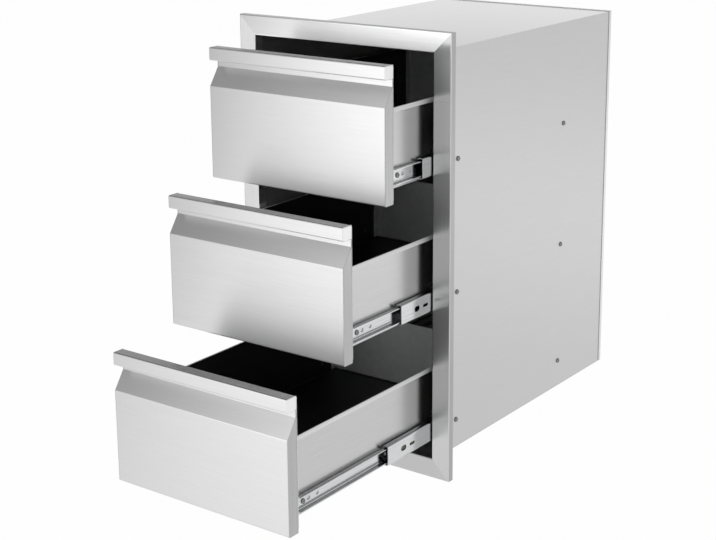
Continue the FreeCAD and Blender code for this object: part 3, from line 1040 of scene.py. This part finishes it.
@dataclass
class Slides(SubAssembly):
    """The three rails on each side of a drawer. Depths are counted from the wall of the body."""

    drawer: DrawerPlace
    wall_face: float = 151.2
    sheet: float = 1.2
    bend: float = 1.4
    lip: float = 1.6
    near_box: float = 11.0
    gap: float = 12.7
    fixed_height: float = 36.0
    fixed_front: float = 16.0
    fixed_length: float = 450.0
    middle_height: float = 28.4
    middle_web: float = 2.6
    middle_length: float = 410.0
    middle_cut: float = 4.0
    inner_height: float = 20.8
    inner_edge: float = 5.0
    inner_length: float = 440.0
    centre: float = 35.0
    cutter_depth: float = 8.0
    middle_windows: tuple[Triple, ...] = ((36.0, 12.0, 7.5), (56.0, 12.0, 4.0))
    inner_windows: tuple[Triple, ...] = ((23.0, 7.0, 5.0), (41.0, 6.0, 4.0))

    def lipped_rail(
        self, web: float, height: float, start: float, length: float, z: float
    ) -> bmesh.types.BMesh:
        """Roll a rail whose web is towards the wall and whose lips are towards the drawer.

        Args:
            web: Depth of the web's outer face.
            height: Height of the rail.
            start: Its front end.
            length: Its length.
            z: Height of its centre.

        Returns:
            The rail of the right side.
        """
        half = height / 2
        wall = self.wall_face - web
        box = self.wall_face - self.near_box
        end = half - self.sheet - self.lip
        path = [(box, end), (box, half), (wall, half), (wall, -half), (box, -half), (box, -end)]
        path = [(x, z + rise) for x, rise in path]
        bends = [self.bend / 2, self.bend, self.bend, self.bend / 2]
        return folded_sheet(path, bends, self.sheet, Plane.XZ, start, length)

    def window_cutters(
        self, windows: Sequence[Triple], x: float, start: float, z: float
    ) -> list[bmesh.types.BMesh]:
        """Make oblong cutters with round ends that go through a rail's web.

        Args:
            windows: Place along the rail, length and height of each window.
            x: Middle of the cutters.
            start: The rail's front end.
            z: Height of the rail's centre.

        Returns:
            The cutters.
        """
        cutters = []
        for place, length, height in windows:
            bm = bmesh.new()
            radius = height / 2
            bmesh.ops.create_cone(
                bm,
                cap_ends=True,
                segments=CIRCLE_STEPS,
                radius1=radius,
                radius2=radius,
                depth=self.cutter_depth,
            )
            bmesh.ops.rotate(bm, verts=bm.verts, matrix=Matrix.Rotation(math.radians(90.0), 3, "Y"))
            for sign in (-1.0, 1.0):
                end = [vert for vert in bm.verts if vert.co.y * sign > SAME_PLANE]
                bmesh.ops.translate(bm, verts=end, vec=(0.0, sign * (length - height) / 2, 0.0))
            bmesh.ops.translate(bm, verts=bm.verts, vec=(x, start + place, z))
            cutters.append(bm)
        return cutters

    def build(self) -> None:
        """Roll the rails of one drawer, cut their windows and mirror them."""
        z = self.drawer.lower_edge + self.centre
        front = self.drawer.box_front
        middle_front = self.drawer.middle_rail_front
        half = self.inner_height / 2
        wall = self.wall_face - self.inner_edge
        box = self.wall_face - self.gap
        path = [(wall, z - half), (box, z - half), (box, z + half), (wall, z + half)]
        for side in Side:
            label = f"{self.drawer.name}_{side.label}"
            fixed = self.lipped_rail(0.0, self.fixed_height, self.fixed_front, self.fixed_length, z)
            middle = self.lipped_rail(
                self.middle_web, self.middle_height, middle_front, self.middle_length, z
            )
            inner = folded_sheet(path, [self.bend, self.bend], self.sheet, Plane.XZ, front, self.inner_length)
            middle_x = side.value * (self.wall_face - self.middle_cut)
            middle_cutters = self.window_cutters(self.middle_windows, middle_x, middle_front, z)
            inner_cutters = self.window_cutters(self.inner_windows, side.value * box, front, z)
            rails = [
                ("fixed_rail", fixed, "cabinet", []),
                ("middle_rail", middle, f"{self.drawer.name}_middle_rails", middle_cutters),
                ("drawer_rail", inner, self.drawer.body, inner_cutters),
            ]
            for kind, bm, body, cutters in rails:
                turn_to(side, bm)
                name = f"{label}_rolled_{kind}"
                node = f"{label}_{kind}"
                self.finish_piece(name, bm, [node], body, "zinc_rail", [RAIL_STEEL], Edge.ROLLED, cutters)


@dataclass
class DrawerFront(SubAssembly):
    """Folded skin with its slope, finger recess and handle strip, its end plates and its liner."""

    drawer: DrawerPlace
    width: float = 292.0
    height: float = 181.0
    depth: float = 18.0
    strip_height: float = 18.0
    recess_wall: float = 10.0
    slope_height: float = 25.0
    recess_depth: float = 17.0
    sheet: float = 1.0
    bend: float = 1.0
    back_lip: float = 10.0
    end_rounding: float = 0.85
    weld_above_strip: float = 0.6
    liner_depth: float = 5.0
    liner_inset: float = 2.0
    liner_fold: float = 1.2

    @property
    def half(self) -> float:
        """Give half of the width between the end plates."""
        return self.width / 2 - self.sheet

    def outline(self) -> list[Point]:
        """Give the skin's outer face from its lower back edge round to its upper back edge.

        Returns:
            Depth and height of each corner.
        """
        slope_top = self.height - self.strip_height - self.recess_wall
        panel = slope_top - self.slope_height
        strip = self.height - self.strip_height
        heights = [
            (self.depth, 0.0),
            (0.0, 0.0),
            (0.0, panel),
            (self.recess_depth, slope_top),
            (self.recess_depth, strip),
            (0.0, strip),
            (0.0, self.height),
            (self.depth, self.height),
        ]
        return [(self.drawer.front + back, self.drawer.lower_edge + rise) for back, rise in heights]

    def skin(self) -> None:
        """Fold the skin, whose upper face gets a darker copy of the steel as painted shade."""
        back = self.drawer.front + self.depth
        top = self.drawer.lower_edge + self.height
        low_lip = (back, self.drawer.lower_edge + self.back_lip)
        path = [low_lip, *self.outline(), (back, top - self.back_lip)]
        bends = [self.bend] * (len(path) - 2)
        bm = folded_sheet(path, bends, self.sheet, Plane.YZ, -self.half, 2 * self.half)
        # The strip's upper face gets painted shade.
        for face in bm.faces:
            shaded_top = face.normal.z > MAINLY and face.calc_center_median().z > top - self.sheet / 2
            face.material_index = 1 if shaded_top else 0
        name = f"{self.drawer.name}_folded_skin"
        node = f"{self.drawer.name}_front_skin"
        finishes = [FRONT_STEEL, STRIP_TOP_PAINTED_SHADE]
        self.finish_piece(name, bm, [node], self.drawer.body, "brushed_front", finishes, Edge.BRUSHED)

    def end_plates(self) -> None:
        """Cut both end plates and part their faces where the ground weld of the strip starts: below it they
        get painted shade, above it painted light.
        """
        ends = bmesh.new()
        outline = self.outline()
        outside = self.half + self.sheet
        for side in Side:
            end = bmesh.new()
            draw_path(end, outline, [self.bend] * (len(outline) - 2), self.sheet, Plane.YZ)
            bmesh.ops.contextual_create(end, geom=[v for v in end.verts if len(v.link_edges) == 1])
            bmesh.ops.contextual_create(end, geom=end.edges[:])
            bmesh.ops.translate(end, verts=end.verts, vec=(self.half, 0.0, 0.0))
            grown = points_of(bmesh.ops.extrude_face_region(end, geom=end.faces[:])["geom"])
            bmesh.ops.translate(end, verts=grown, vec=(self.sheet, 0.0, 0.0))
            bmesh.ops.recalc_face_normals(end, faces=end.faces)
            rim = [edge for edge in end.edges if all(abs(v.co.x - outside) < SAME_PLANE for v in edge.verts)]
            rim = [edge for edge in rim if edge.calc_face_angle(0.0) > SHARP]
            round_off(end, rim, self.end_rounding, FOLD_STEPS)
            turn_to(side, end)
            loose = bpy.data.meshes.new("end_plate")
            end.to_mesh(loose)
            end.free()
            ends.from_mesh(loose)
            bpy.data.meshes.remove(loose)
        weld = self.drawer.lower_edge + self.height - self.strip_height + self.weld_above_strip
        bmesh.ops.triangulate(ends, faces=[face for face in ends.faces if len(face.verts) > 4])
        bmesh.ops.bisect_plane(
            ends,
            geom=ends.verts[:] + ends.edges[:] + ends.faces[:],
            plane_co=(0.0, 0.0, weld),
            plane_no=Axis.Z.value,
        )
        # Below the line the plates get painted shade, above it painted light.
        for face in ends.faces:
            face.material_index = 1 if face.calc_center_median().z > weld else 0
        name = f"{self.drawer.name}_ground_end_plates"
        node = f"{self.drawer.name}_front_end_plates"
        finishes = [END_PLATE_PAINTED_SHADE, STRIP_END_PAINTED_LIGHT]
        self.finish_piece(name, ends, [node], self.drawer.body, "brushed_front", finishes, Edge.SHAPED)

    def liner(self) -> None:
        """Press the pan behind the skin."""
        reach = self.width / 2 - self.sheet - self.liner_inset
        inset = self.liner_inset + self.sheet
        front = self.drawer.front + self.depth
        low = (-reach, front, self.drawer.lower_edge + inset)
        high = (reach, front + self.liner_depth, self.drawer.lower_edge + self.height - inset)
        pan = pressed_pan(low, high, ((0.0, -1.0, 0.0),), self.liner_fold, self.sheet)
        name = f"{self.drawer.name}_pressed_liner"
        node = f"{self.drawer.name}_front_liner"
        self.finish_piece(name, pan, [node], self.drawer.body, "drawer_box_steel", [LINER_ZINC])

    def build(self) -> None:
        """Make the three kinds of pieces of one front."""
        self.skin()
        self.end_plates()
        self.liner()


@dataclass
class DrawerBox(SubAssembly):
    """Tray with hemmed rims that carry a painted highlight, steel outside and nearly black painted shade
    inside, and its galvanised back.
    """

    drawer: DrawerPlace
    width: float = 277.0
    length: float = 445.0
    sheet: float = 0.8
    floor: float = 17.0
    rim: float = 124.0
    bend: float = 1.5
    hem_height: float = 6.0
    hem_gap: float = 0.6
    hem_bend: float = 0.27
    tab_width: float = 13.0
    back_drop: float = 6.0
    back_flange: float = 12.0

    def tray(self) -> None:
        """Fold the tray from one hem round to the other, with a tab at each front corner."""
        low = self.drawer.lower_edge
        half = self.width / 2
        hem = half + self.hem_gap
        top = low + self.rim - self.sheet
        end = low + self.rim - self.hem_height
        floor = low + self.floor
        path = [(hem, end), (hem, top), (half, top), (half, floor)]
        path += [(-x, z) for x, z in reversed(path)]
        bends = [self.hem_bend, self.hem_bend, self.bend, self.bend, self.hem_bend, self.hem_bend]
        bm = folded_sheet(path, bends, self.sheet, Plane.XZ, self.drawer.box_front, self.length)
        inner = half - self.sheet
        for side in Side:
            sides = sorted((side.value * inner, side.value * (inner - self.tab_width)))
            add_block(
                bm,
                (sides[0], self.drawer.box_front, floor + self.sheet + self.bend),
                (sides[1], self.drawer.box_front + self.sheet, top - self.hem_gap),
            )
        for face in bm.faces:
            centre = face.calc_center_median()
            # Faces inside the tray get nearly black painted shade.
            inside = abs(centre.x) < inner + HAIR and centre.z > floor + self.sheet - HAIR
            # Faces of the rolled rim get a painted highlight.
            on_highlit_hem = abs(centre.x) > half + self.hem_gap / 2 or centre.z > top + 2 * HAIR
            face.material_index = 2 if on_highlit_hem else 1 if inside and face.normal.y > -ROUGHLY else 0
        name = f"{self.drawer.name}_folded_tray"
        node = f"{self.drawer.name}_box_tray"
        finishes = [BOX_STEEL, TRAY_INSIDE_PAINTED_SHADE, HEM_PAINTED_HIGHLIGHT]
        self.finish_piece(name, bm, [node], self.drawer.body, "drawer_box_steel", finishes, Edge.ROLLED)

    def back(self) -> None:
        """Fold the back, whose two flanges lie along the tray's sides."""
        reach = self.width / 2 - self.sheet
        rear = self.drawer.box_front + self.length
        front = rear - self.back_flange
        path = [(-reach, front), (-reach, rear), (reach, rear), (reach, front)]
        start = self.drawer.lower_edge + self.floor + self.sheet + self.bend
        rise = self.drawer.lower_edge + self.rim - self.back_drop - start
        bm = folded_sheet(path, [self.bend, self.bend], self.sheet, Plane.XY, start, rise)
        for face in bm.faces:
            face.material_index = 0 if face.normal.y > ROUGHLY else 1
        name = f"{self.drawer.name}_folded_box_back"
        node = f"{self.drawer.name}_box_back"
        finishes = [BOX_STEEL, LINER_ZINC]
        self.finish_piece(name, bm, [node], self.drawer.body, "drawer_box_steel", finishes, Edge.ROLLED)

    def build(self) -> None:
        """Fold the tray and the back of one drawer."""
        self.tray()
        self.back()


@dataclass
class Fastening(SubAssembly):
    """Where the unit's screws are."""

    drawers: Sequence[DrawerPlace] = ()
    screws: Screws = field(default_factory=Screws)
    body_half: float = 152.0
    wall_face: float = 151.2
    gap: float = 12.7
    rail_sheet: float = 1.2
    centre: float = 35.0
    rail_places: tuple[float, float] = (48.0, 338.0)
    box_places: Triple = (12.0, 190.0, 410.0)
    front_heights: tuple[float, float] = (38.0, 102.0)
    front_x: float = 131.2
    box_sheet: float = 0.8
    rail_shank: float = 2.0
    front_shank: float = 1.8

    def build(self) -> None:
        """Set the screws of the walls, of the drawers' rails and of the fronts."""
        places = [
            ((side.value * self.body_half, y, drawer.lower_edge + self.centre), (side.value, 0.0, 0.0))
            for side in Side
            for drawer in self.drawers
            for y in self.rail_places
        ]
        self.screws.set_all("wall_screws", "rail_screws", "cabinet", self.rail_shank, places)
        x = self.wall_face - self.gap + self.rail_sheet
        for drawer in self.drawers:
            name = drawer.name
            z = drawer.lower_edge + self.centre
            places = [
                ((side.value * x, drawer.box_front + y, z), (side.value, 0.0, 0.0))
                for side in Side
                for y in self.box_places
            ]
            node = f"{name}_drawer_rail_screws"
            self.screws.set_all(f"{name}_box_screws", node, drawer.body, self.rail_shank, places)
            y = drawer.box_front + self.box_sheet
            places = [
                ((side.value * self.front_x, y, drawer.lower_edge + height), Axis.Y.value)
                for side in Side
                for height in self.front_heights
            ]
            node = f"{name}_front_screws"
            self.screws.set_all(f"{name}_liner_screws", node, drawer.body, self.front_shank, places)


@dataclass
class CarriedNodes:
    """Nodes whose solids show as they are, with the finish that each kind gets."""

    kinds: tuple[tuple[str, Finish], ...] = (
        ("_ball_cages", CAGE_STEEL),
        ("rail_stops", STOP_RUBBER),
    )

    def build(self) -> None:
        """Dress every node that no piece stands for."""
        for name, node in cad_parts.items():
            for ending, finish in self.kinds:
                if name.endswith(ending) and not node.hide_render:
                    for held in node.material_slots:
                        held.material = finish.material()
                    log.info("%s: dressed as %s", name, finish.name)


# Surroundings


@dataclass(frozen=True)
class Camera:
    """The photograph's viewpoint. Places are in millimetres and angles in degrees."""

    place: Triple = (1236.6, -1644.5, 870.2)
    yaw: float = 36.5
    pitch: float = 14.22
    roll: float = -0.47
    focal_pixels: float = 1531.0
    image_width: float = 716.0
    sensor_mm: float = 36.0
    shift_y: float = -0.10
    clip_metres: tuple[float, float] = (0.05, 50.0)

    def build(self) -> None:
        """Create the camera and make it the scene's."""
        data = bpy.data.cameras.new("camera")
        data.sensor_fit = "HORIZONTAL"
        data.sensor_width = self.sensor_mm
        data.lens = self.focal_pixels / self.image_width * self.sensor_mm
        data.shift_y = self.shift_y
        data.clip_start, data.clip_end = self.clip_metres
        camera = linked("camera", data)
        turned = (
            Matrix.Rotation(math.radians(self.yaw), 4, "Z")
            @ Matrix.Rotation(math.radians(90.0 - self.pitch), 4, "X")
            @ Matrix.Rotation(math.radians(self.roll), 4, "Z")
        )
        camera.matrix_world = Matrix.Translation(Vector(self.place) * MM) @ turned
        bpy.context.scene.camera = camera


def facing(place: Triple, target: Triple) -> Matrix:
    """Give the world matrix of something that stands at a place and looks at a target."""
    aim = Vector(target) - Vector(place)
    return Matrix.Translation(place) @ aim.to_track_quat("-Z", "Y").to_matrix().to_4x4()


def studio_sheet(name: str, size: float, finish: Finish, height: float = 0.0) -> bpy.types.Object:
    """Lay out a level square sheet of the studio.

    Args:
        name: The sheet's name.
        size: Length of its sides in metres.
        finish: Its finish.
        height: How high it lies in metres.

    Returns:
        The sheet.
    """
    mesh = bpy.data.meshes.new(name)
    bm = bmesh.new()
    bmesh.ops.create_grid(bm, x_segments=1, y_segments=1, size=size / 2)
    bmesh.ops.translate(bm, verts=bm.verts, vec=(0.0, 0.0, height))
    bm.to_mesh(mesh)
    bm.free()
    mesh.materials.append(finish.material())
    return linked(name, mesh)


@dataclass(frozen=True)
class Lamp:
    """A rectangular lamp behind a diffuser, which fades towards its edges.

    Places and sizes are in metres.
    """

    name: str
    place: Triple
    target: Triple
    size: tuple[float, float]
    watts: float
    core: float = 0.05

    def build(self) -> None:
        """Create the lamp, which the camera doesn't see."""
        data = bpy.data.lights.new(self.name, "AREA")
        data.shape = "RECTANGLE"
        data.size, data.size_y = self.size
        data.energy = self.watts
        tree = fresh_tree(data)
        spot = add_node(tree, "ShaderNodeNewGeometry").outputs["Parametric"]
        glow = add_node(tree, "ShaderNodeEmission", {"Strength": soft_edges(tree, spot, 0.5, self.core)})
        add_node(tree, "ShaderNodeOutputLight", {"Surface": glow.outputs[0]})
        lamp = linked(self.name, data)
        lamp.matrix_world = facing(self.place, self.target)
        lamp.visible_camera = False


@dataclass(frozen=True)
class Flag:
    """A grey card that shades part of the surroundings, with soft edges. Sizes are in metres."""

    name: str
    place: Triple
    target: Triple
    size: tuple[float, float]
    grey: str

    def build(self) -> None:
        """Stand the card up. The camera doesn't see it and it throws no shadow."""
        card = studio_sheet(self.name, 1.0, CardCloth(self.name, self.grey))
        card.matrix_world = facing(self.place, self.target) @ Matrix.Diagonal((*self.size, 1.0, 1.0))
        card.visible_camera = False
        card.visible_shadow = False
        card.visible_diffuse = False


@dataclass(frozen=True)
class Studio:
    """Plain pale floor, white surroundings, soft lamps and grey cards."""

    floor_height: float = -1.2
    floor_size: float = 60.0
    lamps: tuple[Lamp, ...] = (
        Lamp("front_lamp", (-1.224, -2.735, 0.437), (0.0, 0.0, 0.30), (2.59, 4.15), 38.5),
        Lamp("side_lamp", (1.02, 1.40, -0.06), (0.152, 0.235, 0.30), (2.4, 0.8), 1.4),
    )
    flags: tuple[Flag, ...] = (
        Flag("grey_flag", (-2.271, -0.823, 0.945), (0.0, 0.0, 0.30), (3.78, 4.92), "#898989"),
        Flag("back_flag", (0.0, 1.93, 2.60), (0.0, 0.0, 0.30), (9.0, 5.6), "#8C8C8C"),
    )

    def build(self) -> None:
        """Build the floor, the world, the lamps and the cards."""
        floor = studio_sheet("floor", self.floor_size, FLOOR_PAPER, self.floor_height)
        world = bpy.data.worlds.new("white_surroundings")
        bpy.context.scene.world = world
        tree = fresh_tree(world)
        sky = add_node(tree, "ShaderNodeBackground", {"Color": linear("#FFFFFF"), "Strength": 1.0})
        add_node(tree, "ShaderNodeOutputWorld", {"Surface": sky.outputs[0]})
        for part in (*self.lamps, *self.flags):
            part.build()


def main() -> None:
    """Build the looks of the unit, piece by piece, and then its surroundings."""
    logging.basicConfig(level=logging.INFO, format="%(message)s")
    bpy.context.scene.view_settings.view_transform = "Standard"
    drawers = [
        DrawerPlace("top", 381.0, 102.0, 20.0),
        DrawerPlace("middle", 193.5, 192.0, 16.0),
        DrawerPlace("bottom", 6.0, 307.0, 42.0),
    ]
    FaceFrame().build()
    CabinetBody().build()
    for drawer in drawers:
        DrawerFront(drawer).build()
        DrawerBox(drawer).build()
        Slides(drawer).build()
    Fastening(drawers=drawers).build()
    CarriedNodes().build()
    Camera().build()
    Studio().build()


if __name__ == "__main__":
    main()
